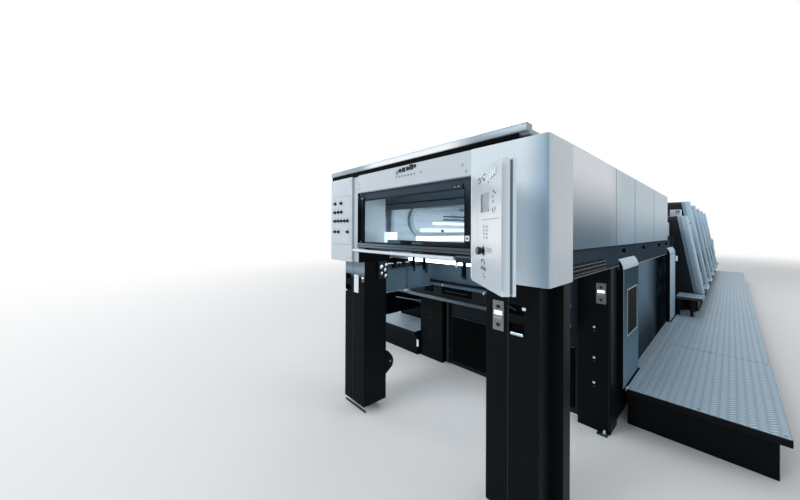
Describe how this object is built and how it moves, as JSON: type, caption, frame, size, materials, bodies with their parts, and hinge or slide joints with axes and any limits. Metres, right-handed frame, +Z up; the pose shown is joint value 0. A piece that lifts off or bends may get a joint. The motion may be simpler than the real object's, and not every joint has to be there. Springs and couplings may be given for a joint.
{
  "type": "offset printing press",
  "caption": "Sheet-fed offset printing press with a hooded delivery, a coater, leaning-sided printing units in line, raised tread-plate galleries and a feeder.",
  "frame": {"origin": "on the floor, on the centre plane, in the middle of the machine bed", "axes": "+Z up, -Y towards the delivery that faces the viewer, +Y towards the feeder, +X to the right seen from the delivery"},
  "size_m": [3.805, 16.3301, 2.16],
  "materials": {
    "white_paint": "gloss",
    "silver_paint": "satin",
    "grey_paint": "satin",
    "dark_paint": "satin",
    "black_paint": "satin",
    "brushed_metal": "brushed",
    "tread_plate": "worn",
    "window_glass": "clear"
  },
  "bodies": {
    "press": {"delivery_leg_left": "black_paint", "delivery_leg_right": "black_paint", "rear_post_left": "black_paint", "rear_post_right": "black_paint", "front_box_left": "white_paint", "front_box_right": "white_paint", "left_control_plate": "white_paint", "fascia": "white_paint", "hood_roof": "silver_paint", "window_frame": "dark_paint", "window_glass": "window_glass", "sill_and_rail": "brushed_metal", "panel_hinge": "brushed_metal", "hood_chassis": "grey_paint", "side_panels_left": "silver_paint", "side_panels_right": "silver_paint", "side_band_left": "dark_paint", "side_band_right": "dark_paint", "delivery_base": "dark_paint", "lower_panels": "grey_paint", "guard_cabinets": "grey_paint", "inner_portal": "silver_paint", "chain_tracks": "brushed_metal", "sheet_brake": "silver_paint", "hood_tail": "silver_paint", "delivery_neck": "grey_paint", "machine_bed": "black_paint", "coater": "dark_paint", "unit_1": "dark_paint", "unit_2": "dark_paint", "unit_3": "dark_paint", "unit_4": "dark_paint", "unit_5": "dark_paint", "unit_covers_left": "silver_paint", "unit_covers_right": "silver_paint", "footboards": "tread_plate", "gallery_deck_left": "tread_plate", "gallery_deck_right": "tread_plate", "gallery_plinths": "black_paint", "step_bench": "tread_plate", "feeder_frame_left": "grey_paint", "feeder_frame_right": "grey_paint", "feed_board": "brushed_metal", "feeder_head": "silver_paint", "pile_board": "tread_plate", "pile_guards": "grey_paint", "coater_terminal": "white_paint"},
    "control_panel": {"swing_panel": "white_paint"}
  },
  "joints": [
    {"name": "panel_swing", "type": "hinge", "parent": "press", "child": "control_panel", "pos_m": [0.601, -9.061, 1.569], "axis": [0, 0, -1], "range_deg": [-40, 50]}
  ]
}
